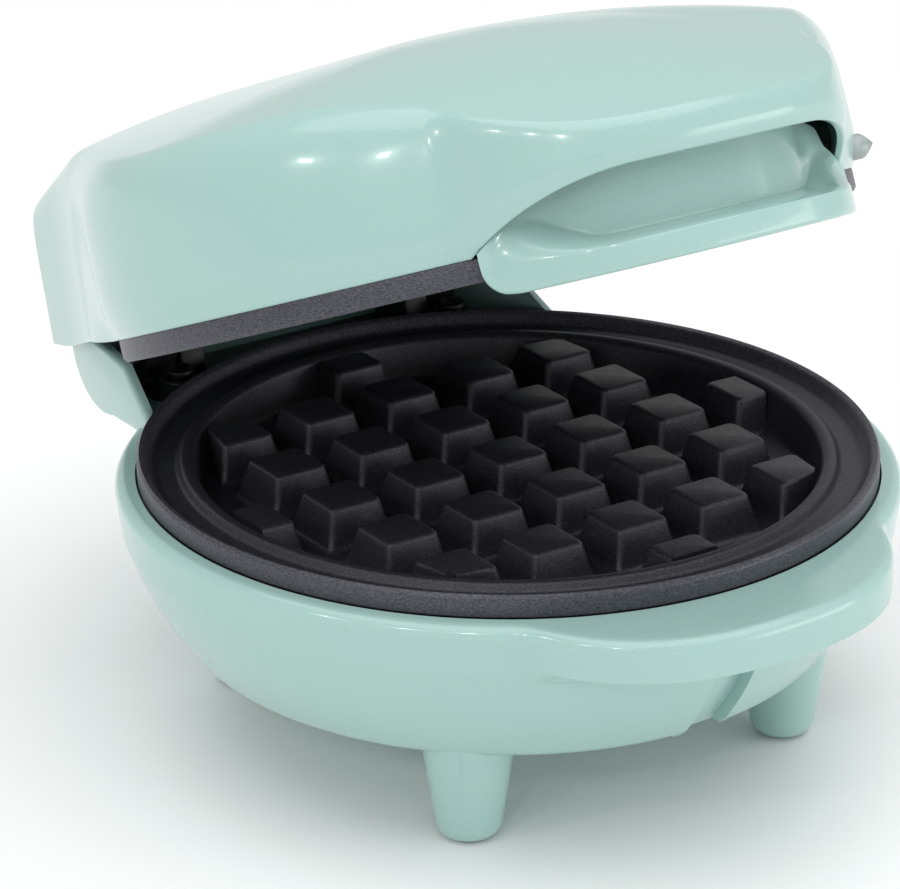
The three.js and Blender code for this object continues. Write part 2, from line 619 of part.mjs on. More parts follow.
// Indicator lenses on the lid's right flank, just behind the handle, each with a lamp behind it.
const LENS_Z = 9.4;
const LAMP_Z = 11.2;
const LENS_RADIUS = 2.8;
const LENS_BEARINGS = [["power", degToRad(50)], ["ready", degToRad(76)]];

function onFlank(geometry, bearing, z) {
  return geometry.rotateX(Math.PI / 2).rotateZ(bearing)
    .translate(LID_RADIUS * Math.sin(bearing), -LID_RADIUS * Math.cos(bearing), z);
}

function lens() {
  return turned([[0, -2.6], [LENS_RADIUS, -2.6], [LENS_RADIUS, 0.4], [2.5, 1.3], [1.5, 2.7], [0.8, 3.2],
    [0, 3.4]], 16);
}

function lamp() {
  return turned([[0, -9], [1.5, -9], [1.5, -5.8], [0.9, -4.9], [0, -4.9]], 12);
}

function lidShell() {
  const hole = (bearing) => onFlank(rod(LENS_RADIUS + GAP, -6, 6, 16), bearing, LENS_Z);
  return cut(sweep(lidSection, bearingsRound()), ...LENS_BEARINGS.map(([, bearing]) => hole(bearing)));
}

// ---- Assembly ----
const appliance = new THREE.Group();
const base = new THREE.Group();
appliance.add(base);

add(base, "base_shell", baseShell(), MINT);
add(base, "base_inner_frame", baseFrame(), BLACK);
add(base, "bottom_cover", bottomCover(), MINT);
coverScrewPlaces().forEach(([x, y], i) => add(base, `cover_screw_${i + 1}`,
  screw(3.2, 1.8, 1.5, 5).translate(x, y, FLOOR_Z - GAP), STEEL));
for (const [place, x, y] of LEG_PLACES) {
  add(base, `foot_pad_${place}`, footPad().translate(x, y, 0), RUBBER);
}
for (const [name, side] of [["left", -1], ["right", 1]]) {
  add(base, `hinge_pin_${name}`, hingePin(side), STEEL);
  add(base, `frame_screw_${name}`, screw(3.4, 2, 1.6, 5.8).rotateX(Math.PI)
    .translate(side * FRAME_SCREW_X, FRAME_SCREW_Y, BOSS_TOP_Z + GAP), DARK_STEEL);
}
add(base, "cable_gland", cableGland(), BLACK);
add(base, "terminal_block", block([-14, 14], [52, 64], [-38, -28]), CERAMIC);

// Adds one cooking plate and what is mounted behind it; place() moves each piece from the lower side.
function fitPlate(parent, prefix, place) {
  const reflectorScrew = screw(4.4, 2.4, 2, 12).translate(0, 0, REFLECTOR_Z - GAP);
  add(parent, `${prefix}_waffle_plate`, place(wafflePlate()), COATING);
  add(parent, `${prefix}_heating_element`, place(heatingElement()), STEEL);
  add(parent, `${prefix}_reflector`, place(reflector()), ALUMINIUM);
  add(parent, `${prefix}_reflector_screw`, place(reflectorScrew), STEEL);
  add(parent, `${prefix}_thermostat`, place(thermostat()), CERAMIC);
  add(parent, `${prefix}_terminal_left`, place(elementTerminal(-1)), STEEL);
  add(parent, `${prefix}_terminal_right`, place(elementTerminal(1)), STEEL);
}

fitPlate(base, "lower", (geometry) => geometry);

// The lid is drawn closed and then turned open about the hinge axis.
const lid = new THREE.Group();
lid.position.set(0, -HINGE_Y, -HINGE_Z);
const hinge = new THREE.Group();
hinge.position.set(0, HINGE_Y, HINGE_Z);
hinge.rotation.x = -LID_OPEN;
hinge.add(lid);
appliance.add(hinge);

add(lid, "lid_shell", lidShell(), MINT);
add(lid, "lid_handle", lidHandle(), MINT);
add(lid, "lid_inner_frame", lidFrame(), BLACK);
fitPlate(lid, "upper", (geometry) => welded(geometry.scale(1, 1, -1).translate(0, 0, GAP)));
for (const [name, bearing] of LENS_BEARINGS) {
  add(lid, `${name}_lens`, onFlank(lens(), bearing, LENS_Z), LENS);
  add(lid, `${name}_lamp`, onFlank(lamp(), bearing, LAMP_Z), LENS);
}

appliance.updateMatrixWorld(true);
const box = new THREE.Box3().setFromObject(appliance, true);
appliance.position.set(0, -(box.min.y + box.max.y) / 2, -box.min.z);

export default appliance;
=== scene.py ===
import math

import bmesh
import bpy
import numpy as np
from mathutils import Matrix, Vector


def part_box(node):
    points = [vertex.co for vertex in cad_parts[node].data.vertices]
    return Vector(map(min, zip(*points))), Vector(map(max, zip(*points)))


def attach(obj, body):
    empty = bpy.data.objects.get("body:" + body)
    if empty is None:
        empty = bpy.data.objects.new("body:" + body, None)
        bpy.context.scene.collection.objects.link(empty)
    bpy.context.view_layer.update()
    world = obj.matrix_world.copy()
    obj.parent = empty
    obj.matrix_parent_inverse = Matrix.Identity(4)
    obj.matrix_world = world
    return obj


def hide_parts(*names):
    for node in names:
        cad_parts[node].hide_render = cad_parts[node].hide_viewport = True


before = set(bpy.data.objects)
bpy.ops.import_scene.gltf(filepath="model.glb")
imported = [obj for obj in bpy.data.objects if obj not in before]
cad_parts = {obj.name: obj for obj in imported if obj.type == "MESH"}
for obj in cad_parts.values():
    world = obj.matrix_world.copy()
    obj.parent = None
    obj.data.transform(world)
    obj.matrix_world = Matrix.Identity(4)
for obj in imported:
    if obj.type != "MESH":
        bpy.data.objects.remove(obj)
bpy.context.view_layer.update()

# Shapes are drawn in millimetres in the working frame: origin at the centre of the lower plate's rim,
# front towards -Y, Z up. Lid pieces are drawn with the lid shut and then turned open about the hinge.
MM = 0.001
PLATE_LOW, PLATE_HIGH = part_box("lower_waffle_plate")
ORIGIN = Vector(((PLATE_LOW.x + PLATE_HIGH.x) / 2, (PLATE_LOW.y + PLATE_HIGH.y) / 2, PLATE_HIGH.z))
LID_OPEN = math.radians(23.56)
HINGE_Y, HINGE_Z = 90.5, 2.0
SHUT_GAP = 0.3

PLATE_RADIUS, PLATE_BAND, PLATE_BACK_Z = 82.0, 5.0, -14.0
CAVITY_RADIUS, CAVITY_DEPTH = 69.3, 11.0
PEG_PITCH, PEG_HEIGHT, PEG_HALF_FOOT, PEG_HALF_TOP = 22.0, 9.0, 8.0, 6.5

BASE_RADIUS, OPENING_RADIUS, RIM_ROUND = 86.9, 82.4, 2.6
FLANGE_Z, LIP_Z, LIP_FALL, FLOOR_Z = -5.0, -14.0, 4.5, -42.0
FLOOR_RADIUS, WALL_FOOT_Z, INNER_FOOT_Z = 71.5, -39.5, -31.0
LOBE_CENTRE, LOBE_HALF_WIDTH, LOBE_HALF_LENGTH, LOBE_POWER = 48.0, 50.5, 52.5, 2.4
NOTCH_HALF_WIDTH, NOTCH_DEPTH = 5.2, 3.3
LEG_X, LEG_Y, LEG_FOOT_Z = 42.5, 46.0, -64.4
COVER_RADIUS, COVER_HOLE_RADIUS, COVER_RECESS, SCREW_CIRCLE = 44.5, 38.0, 1.8, 41.0
GLAND_X, GLAND_Z = 25.0, -27.0
WALL = 2.4

RISER_Y, RISER_Z, RISER_HALF_LENGTH, RISER_HALF_HEIGHT, RISER_TOP_Z = 92.0, 2.0, 17.5, 13.5, 6.0
RISER_FRONT_Y, RISER_FRONT_HALF_WIDTH, RISER_REAR_Y, RISER_REAR_HALF_WIDTH = 56.0, 58.0, 110.0, 49.0
DECK_HALF_WIDTH, DECK_FRONT_Y, DECK_REAR_Y, DECK_BOTTOM_Z, DECK_TOP_Z = 43.0, 60.0, 96.6, -7.6, -5.8
ARM, EAR, KNUCKLE, PIN_BORE = (35.0, 43.0), (28.0, 34.4), 7.0, 3.3
FRAME_SCREW_X, FRAME_SCREW_Y = 38.0, 78.2

LID_RADIUS, LID_EDGE_Z = 84.3, 5.5
BROW_Z, BROW_CENTRE, BROW_FLAT, BROW_FALL = 16.9, 43.0, 22.0, 0.0078
CROWN_Z, CROWN_SLOPE, CROWN_BEND, FRONT_DIP = 54.0, 0.02, 0.002, 8.8
RIDGE_Y, RIDGE_Z, REAR_SLOPE, REAR_HALF_WIDTH, REAR_FLATTENING = 66.8, 49.5, 0.232, 54.0, 0.000023
REAR_DRAFT, DRAFT_TOP_Z = 2.0, 34.0
REAR_LINES = ((0.0, 1.0, 111.0), (0.977, 0.2155, 73.75), (0.917, 0.399, LID_RADIUS))
REAR_SPREAD = math.radians(66.5)

HANDLE_BOTTOM_Z, PANEL_INSET = -3.6, 10.0
HANDLE_SPREAD, HANDLE_INNER = math.radians(33.4), 83.2
CORNER_X, CORNER_WIDTH, CORNER_HEIGHT = 46.9, 5.5, 6.0
LENS_RADIUS, LENS_Z, LAMP_Z = 2.8, 9.4, 11.2

ELEMENT_RADIUS, ELEMENT_TUBE, TERMINAL_X, THERMOSTAT_Y = 50.0, 3.2, 9.0, 26.0
ELEMENT_Z = PLATE_BACK_Z - 0.3 - ELEMENT_TUBE
REFLECTOR_Z = ELEMENT_Z - ELEMENT_TUBE - 2.2


# ---- Numbers ----
def smooth_max(a, b, k):
    """The larger of two values, rounded over where they differ by less than k."""
    h = np.maximum(k - np.abs(a - b), 0) / k
    return np.maximum(a, b) + h * h * k / 4


def smooth_min(a, b, k):
    return -smooth_max(-a, -b, k)


def ramp(x, a, b):
    """Rises smoothly from 0 at a to 1 at b."""
    t = np.clip((x - a) / (b - a), 0, 1)
    return t * t * (3 - 2 * t)


def turned(bearing, a, b):
    """Rises from 0 to 1 as a bearing turns from a to b degrees, to either side of the front."""
    return ramp(np.abs(bearing), math.radians(a), math.radians(b))


def mix(a, b, t):
    return a + (b - a) * t


# ---- Meshes ----
def piece(name, points, faces, on_lid=False, sharp=32):
    """A mesh object in the row frame, from points in the working frame."""
    mesh = bpy.data.meshes.new(name)
    mesh.from_pydata([tuple(p) for p in points], [], [tuple(f) for f in faces])
    bm = bmesh.new()
    bm.from_mesh(mesh)
    bmesh.ops.remove_doubles(bm, verts=bm.verts, dist=1e-4)
    bmesh.ops.dissolve_degenerate(bm, edges=bm.edges, dist=1e-5)
    bmesh.ops.recalc_face_normals(bm, faces=bm.faces)
    bm.to_mesh(mesh)
    bm.free()
    obj = bpy.data.objects.new(name, mesh)
    bpy.context.scene.collection.objects.link(obj)
    obj["on_lid"] = on_lid
    obj["sharp"] = sharp
    return obj


def grid_faces(rows, columns, wrap_rows=True):
    """Quads between the rows of a grid of points; each row is a closed ring."""
    i, j = np.meshgrid(np.arange(rows if wrap_rows else rows - 1), np.arange(columns), indexing="ij")
    i, j = i.ravel(), j.ravel()
    i2, j2 = (i + 1) % rows, (j + 1) % columns
    return np.stack([i * columns + j, i2 * columns + j, i2 * columns + j2, i * columns + j2], 1)


def swept(name, radius, height, bearings, on_lid=False, full=True, sharp=32):
    """radius and height are arrays [bearing, profile point]; bearing 0 is the front, positive towards +X."""
    x = radius * np.sin(bearings)[:, None]
    y = -radius * np.cos(bearings)[:, None]
    points = np.stack([x, y, height], 2).reshape(-1, 3)
    rows, columns = radius.shape
    faces = grid_faces(rows, columns, wrap_rows=full).tolist()
    if not full:
        faces += [list(range(columns)), list(range((rows - 1) * columns, rows * columns))]
    return piece(name, points, faces, on_lid, sharp)


def lathe(name, profile, segments=128, on_lid=False, sharp=32):
    """A closed profile of (radius, height) pairs turned round Z."""
    r, z = np.array(profile, float).T
    bearings = np.linspace(0, 2 * np.pi, segments, endpoint=False)
    ones = np.ones((segments, 1))
    return swept(name, ones * r, ones * z, bearings, on_lid, sharp=sharp)


def rounded(profile, cuts, steps=5):
    """Rounds the corners of an open or closed profile; cuts maps a corner's index to its setback."""
    out = []
    count = len(profile)
    for i, corner in enumerate(profile):
        cut = cuts.get(i)
        if not cut:
            out.append(tuple(corner))
            continue
        c = np.array(corner, float)
        before = np.array(profile[(i - 1) % count], float) - c
        after = np.array(profile[(i + 1) % count], float) - c
        a = c + before / np.linalg.norm(before) * cut
        b = c + after / np.linalg.norm(after) * cut
        for t in np.linspace(0, 1, steps + 1):
            out.append(tuple((1 - t) ** 2 * a + 2 * t * (1 - t) * c + t * t * b))
    return out


def box(name, x, y, z, bevel=0.0, on_lid=False):
    corners = [(a, b, c) for a in x for b in y for c in z]
    faces = [(0, 1, 3, 2), (4, 6, 7, 5), (0, 4, 5, 1), (2, 3, 7, 6), (0, 2, 6, 4), (1, 5, 7, 3)]
    obj = piece(name, corners, faces, on_lid)
    return bevelled(obj, bevel) if bevel else obj


def side_plate(name, outline, x_from, x_to, bevel=0.0, angle=25):
    """An outline in the YZ plane, made solid from one X to another."""
    n = len(outline)
    points = [(x, y, z) for x in (x_from, x_to) for y, z in outline]
    faces = [list(range(n)), list(range(n, 2 * n))]
    faces += [[i, (i + 1) % n, n + (i + 1) % n, n + i] for i in range(n)]
    obj = piece(name, points, faces)
    return bevelled(obj, bevel, angle) if bevel else obj


def bevelled(obj, width, angle=25, segments=3):
    """Rounds the edges that turn by more than the angle."""
    bm = bmesh.new()
    bm.from_mesh(obj.data)
    edges = [e for e in bm.edges if e.is_manifold and e.calc_face_angle() > math.radians(angle)]
    bmesh.ops.bevel(bm, geom=edges, offset=width, segments=segments, profile=0.5, affect="EDGES",
                    clamp_overlap=True)
    bm.to_mesh(obj.data)
    bm.free()
    return obj


def arc(cy, cz, radius_y, radius_z, start, end, steps):
    """Points of an ellipse's arc in the YZ plane, from one angle in degrees to another."""
    angles = np.radians(np.linspace(start, end, steps + 1))
    return [(cy + radius_y * math.cos(a), cz + radius_z * math.sin(a)) for a in angles]


def moved(obj, matrix):
    obj.data.transform(matrix)
    if matrix.determinant() < 0:
        obj.data.flip_normals()
    return obj


def at(obj, x, y, z):
    return moved(obj, Matrix.Translation((x, y, z)))


def boolean(obj, operation, *tools):
    """Joins, cuts or intersects obj with the tools, which are used up."""
    for tool in tools:
        modifier = obj.modifiers.new("boolean", "BOOLEAN")
        modifier.operation = operation
        modifier.solver = "EXACT"
        modifier.object = tool
        apply_modifiers(obj)
        bpy.data.objects.remove(tool)
    return obj


def apply_modifiers(obj):
    evaluated = obj.evaluated_get(bpy.context.evaluated_depsgraph_get())
    mesh = bpy.data.meshes.new_from_object(evaluated)
    obj.modifiers.clear()
    obj.data = mesh


def merged(name, *objects):
    """One object that holds the meshes of several."""
    bm = bmesh.new()
    for o in objects:
        bm.from_mesh(o.data)
    on_lid, sharp = objects[0]["on_lid"], objects[0]["sharp"]
    for o in objects:
        bpy.data.objects.remove(o)
    mesh = bpy.data.meshes.new(name)
    bm.to_mesh(mesh)
    bm.free()
    obj = bpy.data.objects.new(name, mesh)
    bpy.context.scene.collection.objects.link(obj)
    obj["on_lid"], obj["sharp"] = on_lid, sharp
    return obj


TURN_X = Matrix.Rotation(math.pi / 2, 4, "X")
TURN_Y = Matrix.Rotation(math.pi / 2, 4, "Y")
FLIP = Matrix.Translation((0, 0, SHUT_GAP)) @ Matrix.Scale(-1, 4, (0, 0, 1))
TO_ROW = Matrix.Translation(ORIGIN) @ Matrix.Scale(MM, 4)
OPENED = (Matrix.Translation((0, HINGE_Y, HINGE_Z)) @ Matrix.Rotation(-LID_OPEN, 4, "X")
          @ Matrix.Translation((0, -HINGE_Y, -HINGE_Z)))


def placed(obj, material, node):
    """Finishes a piece: row frame, shading, material, body and the CAD node it stands for."""
    on_lid = obj["on_lid"]
    obj.data.transform(TO_ROW @ OPENED if on_lid else TO_ROW)
    obj.data.shade_smooth()
    obj.data.set_sharp_from_angle(angle=math.radians(obj["sharp"]))
    if material is not None:
        obj.data.materials.clear()
        obj.data.materials.append(material)
    del obj["on_lid"], obj["sharp"]
    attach(obj, "lid" if on_lid else "base")
    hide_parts(node)


# ---- Materials ----
def new_material(name, color, roughness, metallic=0.0, **sockets):
    material = bpy.data.materials.new(name)
    material.use_nodes = True
    shader = material.node_tree.nodes["Principled BSDF"]
    shader.inputs["Base Color"].default_value = (*color, 1)
    shader.inputs["Roughness"].default_value = roughness
    shader.inputs["Metallic"].default_value = metallic
    for socket, value in sockets.items():
        shader.inputs[socket.replace("_", " ")].default_value = value
    return material


def noise(material, scale, detail=3, stretch=(1, 1, 1)):
    """A noise texture in the object's own coordinates."""
    tree = material.node_tree
    place = tree.nodes.new("ShaderNodeTexCoord")
    mapping = tree.nodes.new("ShaderNodeMapping")
    mapping.inputs["Scale"].default_value = stretch
    texture = tree.nodes.new("ShaderNodeTexNoise")
    texture.inputs["Scale"].default_value = scale
    texture.inputs["Detail"].default_value = detail
    tree.links.new(place.outputs["Object"], mapping.inputs["Vector"])
    tree.links.new(mapping.outputs["Vector"], texture.inputs["Vector"])
    return texture.outputs["Fac"]


def speckled(material, factor, low, high, start=0.35, end=0.65):
    """The base colour wanders between two colours."""
    tree = material.node_tree
    band = tree.nodes.new("ShaderNodeValToRGB")
    band.color_ramp.elements[0].position = start
    band.color_ramp.elements[1].position = end
    band.color_ramp.elements[0].color = (*low, 1)
    band.color_ramp.elements[1].color = (*high, 1)
    tree.links.new(factor, band.inputs["Fac"])
    tree.links.new(band.outputs["Color"], tree.nodes["Principled BSDF"].inputs["Base Color"])


def bumped(material, factor, strength, distance):
    tree = material.node_tree
    bump = tree.nodes.new("ShaderNodeBump")
    bump.inputs["Strength"].default_value = strength
    bump.inputs["Distance"].default_value = distance
    tree.links.new(factor, bump.inputs["Height"])
    tree.links.new(bump.outputs["Normal"], tree.nodes["Principled BSDF"].inputs["Normal"])


def roughened(material, factor, low, high):
    tree = material.node_tree
    spread = tree.nodes.new("ShaderNodeMapRange")
    spread.inputs["To Min"].default_value = low
    spread.inputs["To Max"].default_value = high
    tree.links.new(factor, spread.inputs["Value"])
    tree.links.new(spread.outputs["Result"], tree.nodes["Principled BSDF"].inputs["Roughness"])


def mint_gloss():
    m = new_material("mint_gloss", (0.37, 0.57, 0.53), 0.2, IOR=1.5, Coat_Weight=0.3, Coat_Roughness=0.05)
    speckled(m, noise(m, 2600, 2), (0.355, 0.555, 0.515), (0.385, 0.585, 0.545))
    return m


def non_stick():
    m = new_material("non_stick_coating", (0.03, 0.03, 0.037), 0.42, 0.25)
    speckled(m, noise(m, 3000, 3), (0.016, 0.016, 0.02), (0.05, 0.05, 0.062), 0.42, 0.66)
    roughened(m, noise(m, 900, 2), 0.34, 0.52)
    bumped(m, noise(m, 2200, 3), 0.35, 0.00012)
    return m


def plate_band():
    m = new_material("plate_band_coating", (0.08, 0.08, 0.1), 0.42, 0.35)
    speckled(m, noise(m, 1500, 4, (1, 1, 4)), (0.035, 0.035, 0.045), (0.11, 0.11, 0.135), 0.38, 0.68)
    roughened(m, noise(m, 700, 3, (1, 1, 6)), 0.3, 0.5)
    bumped(m, noise(m, 1800, 3, (1, 1, 3)), 0.3, 0.00012)
    return m


def black_plastic():
    m = new_material("black_plastic", (0.012, 0.012, 0.013), 0.42)
    roughened(m, noise(m, 300, 2), 0.34, 0.5)
    bumped(m, noise(m, 1600, 3), 0.2, 0.0001)
    return m


def metal(name, color, roughness, stretch=(1, 1, 1)):
    m = new_material(name, color, roughness, 1.0)
    roughened(m, noise(m, 500, 3, stretch), roughness - 0.06, roughness + 0.08)
    bumped(m, noise(m, 900, 2, stretch), 0.1, 0.00008)
    return m


def ceramic():
    m = new_material("ceramic", (0.72, 0.68, 0.6), 0.55)
    speckled(m, noise(m, 1200, 3), (0.68, 0.64, 0.56), (0.76, 0.72, 0.65))
    bumped(m, noise(m, 1500, 3), 0.25, 0.0001)
    return m


def foot_rubber():
    m = new_material("foot_rubber", (0.03, 0.031, 0.032), 0.8)
    bumped(m, noise(m, 1800, 3), 0.5, 0.00012)
    return m


def clear_lens():
    m = new_material("clear_lens", (0.62, 0.66, 0.66), 0.08, IOR=1.49, Transmission_Weight=0.55)
    roughened(m, noise(m, 600, 2), 0.05, 0.12)
    return m


MINT, COATING, BAND, BLACK = mint_gloss(), non_stick(), plate_band(), black_plastic()
STEEL = metal("plain_steel", (0.6, 0.61, 0.62), 0.3)
DARK_STEEL = metal("dark_steel", (0.03, 0.03, 0.033), 0.42)
ALUMINIUM = metal("bare_aluminium", (0.75, 0.76, 0.77), 0.32)
CERAMIC, RUBBER, LENS = ceramic(), foot_rubber(), clear_lens()


# ---- Plan outlines ----
def lobe_reach(bearing, inset=0.0):
    """How far the front lobe reaches from the centre; 0 where it isn't met."""
    half_width, half_length = LOBE_HALF_WIDTH - inset, LOBE_HALF_LENGTH - inset

    def outside(r):
        x = np.abs(r * np.sin(bearing)) / half_width
        y = np.abs(LOBE_CENTRE - r * np.cos(bearing)) / half_length
        return x ** LOBE_POWER + y ** LOBE_POWER > 1

    low = np.maximum(0, LOBE_CENTRE * np.cos(bearing))
    high = np.full_like(low, 2 * LOBE_HALF_LENGTH)
    never = outside(low)
    for _ in range(34):
        middle = (low + high) / 2
        out = outside(middle)
        high = np.where(out, middle, high)
        low = np.where(out, low, middle)
    return np.where(never, 0, low)


def base_plan(bearing):
    return smooth_max(BASE_RADIUS, lobe_reach(bearing), 2.5)


def lid_plan(bearing):
    """A circle with the front lobe, and behind it a box whose sides draw in towards the rear."""
    from_rear = np.pi - np.abs(bearing)
    reaches = []
    for x, y, distance in REAR_LINES:
        facing = x * np.sin(from_rear) + y * np.cos(from_rear)
        reaches.append(np.where(facing > 0.2, distance / np.maximum(facing, 0.2), 500))
    rear = smooth_min(reaches[0], smooth_max(reaches[1], reaches[2], 4), 1.8)
    body = np.where(from_rear < REAR_SPREAD, rear, LID_RADIUS)
    return smooth_max(body, lobe_reach(bearing), 2.5)


def spaced_bearings(plan, count):
    """Bearings evenly spaced along an outline, closer where it turns."""
    samples, turn_length, most_turn = 14401, 14, 0.02
    b = np.linspace(-np.pi, np.pi, samples)
    r = plan(b)
    x, y = r * np.sin(b), -r * np.cos(b)
    heading = np.unwrap(np.arctan2(np.diff(y), np.diff(x)))
    turn = np.abs(np.diff(heading, append=heading[-1]))
    step = np.hypot(np.diff(x), np.diff(y)) + turn_length * np.minimum(turn, most_turn)
    way = np.concatenate([[0], np.cumsum(step)])
    return np.interp(np.linspace(0, way[-1], count, endpoint=False), way, b)


def softened(radius, height, first, last, width):
    """Smooths each profile between two of its points with a bell of the given width, in points."""
    reach = int(3 * width)
    offsets = np.arange(-reach, reach + 1)
    bell = np.exp(-0.5 * (offsets / width) ** 2)
    bell /= bell.sum()
    out_r, out_h = radius.copy(), height.copy()
    for i in range(first + reach, last - reach):
        fade = min(1.0, (i - first - reach) / reach, (last - reach - 1 - i) / reach)
        r = radius[:, i - reach:i + reach + 1] @ bell
        h = height[:, i - reach:i + reach + 1] @ bell
        out_r[:, i] = mix(radius[:, i], r, fade)
        out_h[:, i] = mix(height[:, i], h, fade)
    return out_r, out_h


# ---- Lid ----
def lid_shoulder(bearing):
    """How far the round edge between the lid's top and its wall reaches in from the plan."""
    front = mix(1.6, 7, turned(bearing, 22, 52))
    return mix(front, 3.4, turned(bearing, 132, 158))


def lid_top(radius, bearing):
    """The dome, cut behind the ridge by the slope of the rear box, and dipping towards the brow."""
    x, y = radius * np.sin(bearing), -radius * np.cos(bearing)
    dome = CROWN_Z + CROWN_SLOPE * np.maximum(y, 0) - CROWN_BEND * (x * x + np.minimum(y, 0) ** 2)
    bend = CROWN_BEND - REAR_FLATTENING * np.maximum(y - RIDGE_Y, 0)
    slope = RIDGE_Z - REAR_SLOPE * (y - RIDGE_Y) + bend * (REAR_HALF_WIDTH ** 2 - x * x)
    dip = FRONT_DIP * (1 - turned(bearing, 12, 58))
    crease = lid_plan(bearing) - lid_shoulder(bearing)
    return smooth_min(dome, slope, 1.5) - dip * (radius / crease) ** 2


def brow_height(bearing):
    """The arched edge over the lifting lip, highest at the front."""
    reach = lid_plan(bearing)
    around = np.arctan2(np.abs(reach * np.sin(bearing)), reach * np.cos(bearing) - BROW_CENTRE)
    return BROW_Z - BROW_FALL * np.maximum(0, np.degrees(around) - BROW_FLAT) ** 2


def lid_edge(bearing):
    """Height of the lid's lower edge: level, a little higher at the rear, and arched at the brow."""
    body = LID_EDGE_Z + turned(bearing, 118, 142) + 1.5 * turned(bearing, 150, 157)
    return np.where(np.abs(bearing) < math.radians(60), np.maximum(body, brow_height(bearing)), body)


def lid_tuck(bearing):
    """Height and depth of the tuck along the lid's lower edge."""
    share = np.clip((lid_edge(bearing) - LID_EDGE_Z) / (BROW_Z - LID_EDGE_Z), 0, 1)
    return mix(7.5, 3.4, share), mix(2.0, 1.2, share)


def lid_lean(bearing, z):
    """How far the wall stands out from the plan: the rear box leans out, the rest tucks in."""
    rear = turned(bearing, 114, 135)
    draft = REAR_DRAFT * np.clip((DRAFT_TOP_Z - z) / (DRAFT_TOP_Z - LID_EDGE_Z), 0, 1)
    height, depth = lid_tuck(bearing)
    tuck = depth * np.clip((lid_edge(bearing) + height - z) / height, 0, 1) ** 1.5
    return mix(-tuck, draft, rear)


def lid_wall(bearing, z):
    shoulder = lid_shoulder(bearing)
    crease = lid_top(lid_plan(bearing) - shoulder, bearing)
    return lid_plan(bearing) + lid_lean(bearing, z) - shoulder * np.exp((z - crease) / (0.7 * shoulder))


def lid_casing():
    """From the centre of the top out over the shoulder, down the wall and back inside."""
    rim_band = 9
    b = spaced_bearings(lid_plan, 900)
    shoulder, plan, edge = lid_shoulder(b), lid_plan(b), lid_edge(b)
    crease_radius = plan - shoulder
    crease = lid_top(crease_radius, b)
    radii, heights = [], []

    def add(r, z):
        radii.append(r)
        heights.append(z)

    for t in np.linspace(0, 1, 56)[:-1]:
        r = t * (crease_radius - rim_band)
        add(r, lid_top(r, b))
    first = len(radii)
    for inward in np.arange(rim_band, 0, -0.45):
        r = crease_radius - inward
        add(r, lid_top(r, b))
    room = crease - edge
    for t in np.linspace(0, 1, 76):
        z = crease - room * t ** 1.25
        add(lid_wall(b, z), z)
    last = len(radii)
    foot = radii[-1]
    add(foot - 0.25, edge - 0.22)
    add(foot - 0.7, edge - 0.3)
    add(foot - 1.8, edge - 0.1)
    tuck_top = edge + lid_tuck(b)[0]
    inner_top = crease - 1.7 * shoulder - 1
    low = np.minimum(DRAFT_TOP_Z, inner_top + 0.5)
    add(lid_wall(b, tuck_top) - 2, tuck_top)
    add(lid_wall(b, low) - WALL, low)
    add(lid_wall(b, low) - WALL, inner_top)
    for t in (1.0, 0.92, 0.7, 0.45, 0.2, 0.0):
        r = t * (crease_radius - WALL)
        add(r, lid_top(r, b) - WALL)
    radius, height = np.stack(radii, 1), np.stack(heights, 1)
    soft = softened(radius, height, first, last, 2.6)
    crisp = softened(radius, height, first, last, 1.0)
    share = turned(b, 22, 50)[:, None]
    radius, height = mix(crisp[0], soft[0], share), mix(crisp[1], soft[1], share)
    return swept("lid_casing", radius, height, b, on_lid=True, sharp=70)


def handle_piece():
    """The lifting lip, with the panel that is set back above it."""
    half = HANDLE_SPREAD * np.sin(np.linspace(0, np.pi / 2, 160))
    b = np.concatenate([-half[:0:-1], half])
    turn = np.abs(b)
    outline = np.maximum(lid_plan(b) - 0.4 - 3 * turned(b, 13, 29), HANDLE_INNER + 2)
    panel = smooth_max(HANDLE_INNER + 1.8, lobe_reach(b, PANEL_INSET), 2)
    set_back = np.maximum(0, outline - panel)
    edge = lid_edge(b)
    into_corner = np.clip(1 - (CORNER_X - outline * np.sin(turn)) / CORNER_WIDTH, 0, 1)
    bottom = HANDLE_BOTTOM_Z + CORNER_HEIGHT * (1 - np.sqrt(1 - into_corner ** 2))
    foot = np.maximum(-0.4, bottom + 1.6)
    blend_top = mix(4, edge, turned(b, 16, 30))
    top = edge + mix(-0.4, 2.6, ramp(set_back, 3, 5))

    def face(z):
        return outline - set_back * ramp(z, 1.6, blend_top)

    def back(radius):
        return np.maximum(radius - 2, HANDLE_INNER + 0.3)

    radii, heights = [], []

    def add(r, z):
        radii.append(r * np.ones_like(b))
        heights.append(z * np.ones_like(b))

    add(outline - 1.6, bottom)
    for a in np.radians(np.linspace(80, 0, 7)):
        add(outline - 1.1 + 1.1 * math.cos(a), bottom + 1.1 - 1.1 * math.sin(a))
    for t in np.linspace(0, 1, 44):
        z = mix(foot, edge - 0.7, t ** 1.3)
        add(face(z), z)
    add(face(top), top)
    add(back(face(top)), top)
    add(back(face(top)), np.maximum(4.8, foot + 0.4))
    add(back(outline), foot + 0.2)
    add(HANDLE_INNER, foot)
    add(HANDLE_INNER, bottom)
    return swept("lid_lifting_lip", np.stack(radii, 1), np.stack(heights, 1), b, on_lid=True, full=False,
                 sharp=40)


placed(lid_casing(), MINT, "lid_shell")
placed(handle_piece(), MINT, "lid_handle")


# ---- Base casing ----
def bowl_radius(z):
    depth = np.clip((FLANGE_Z - z) / (FLANGE_Z - FLOOR_Z), 0, 1)
    return FLOOR_RADIUS + (BASE_RADIUS - FLOOR_RADIUS) * (1 - depth ** 2)


